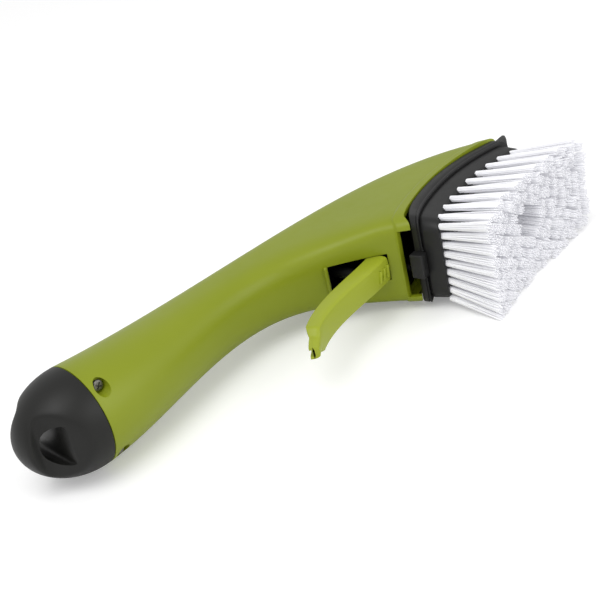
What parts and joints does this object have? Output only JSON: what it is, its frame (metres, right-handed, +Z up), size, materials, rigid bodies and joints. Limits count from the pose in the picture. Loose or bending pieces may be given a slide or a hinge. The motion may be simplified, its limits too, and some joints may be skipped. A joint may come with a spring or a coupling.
{
  "type": "soap dispensing dish wand",
  "caption": "Hollow dish wand lying on its side: curved reservoir handle with a capped end, a pump trigger in its neck and a clip-on saddle-shaped bristle head with a scraper lip.",
  "frame": {"origin": "middle of the bottom of the box round the part, on the surface it lies on", "axes": "+X along the handle from the cap to the brush head, -Y the trigger side to which the bristles point, +Z up through the wand's flank, so the plane of symmetry is level"},
  "size_m": [0.2542, 0.0957, 0.0435],
  "materials": {
    "green_plastic": "satin moulded polypropylene",
    "dark_plastic": "satin dark grey moulding",
    "black_plastic": "matt black moulding",
    "clear_plastic": "milky translucent tube and pump parts",
    "steel": "bright stainless steel",
    "seal_rubber": "soft sealing rubber",
    "nylon": "white nylon filament"
  },
  "bodies": {
    "handle": {"handle_shell": "green_plastic", "end_cap": "dark_plastic", "cap_seal": "seal_rubber", "cap_screws": "steel", "trigger_well": "black_plastic", "trigger_pin": "steel", "pump_barrel": "clear_plastic", "barrel_plug": "black_plastic", "inlet_ball": "steel", "intake_tube": "clear_plastic", "delivery_tube": "clear_plastic", "nozzle": "clear_plastic", "outlet_valve": "seal_rubber", "mouth_wall": "black_plastic", "wall_seal": "seal_rubber", "wall_screws": "steel"},
    "trigger": {"trigger": "green_plastic", "return_spring": "steel"},
    "plunger": {"plunger": "black_plastic", "piston_ring": "seal_rubber"},
    "brush_head": {"head_frame": "dark_plastic", "brush_block": "dark_plastic", "block_screws": "steel", "latch_pin": "steel", "bristles": "nylon"},
    "release_latch": {"release_latch": "dark_plastic"}
  },
  "joints": [
    {"name": "trigger_hinge", "type": "hinge", "parent": "handle", "child": "trigger", "pos_m": [0.03155, 0.00308, 0.02176], "axis": [0, 0, -1], "range_deg": [0, 25], "stiffness_Nm_per_rad": 0.25, "springref_deg": -14.32},
    {"name": "plunger_slide", "type": "slide", "parent": "handle", "child": "plunger", "axis": [0, 1, 0], "range_m": [0, 0.0046]},
    {"name": "head_pull_off", "type": "slide", "parent": "handle", "child": "brush_head", "axis": [0.184, -0.9829, 0], "range_m": [0, 0.02]},
    {"name": "latch_hinge", "type": "hinge", "parent": "brush_head", "child": "release_latch", "pos_m": [0.0404, -0.01436, 0.02176], "axis": [0, 0, -1], "range_deg": [0, 6], "stiffness_Nm_per_rad": 0.05, "springref_deg": -11.46}
  ],
  "couplings": [
    {"joint": "plunger_slide", "follows": "trigger_hinge", "m_per_rad": 0.0096}
  ]
}
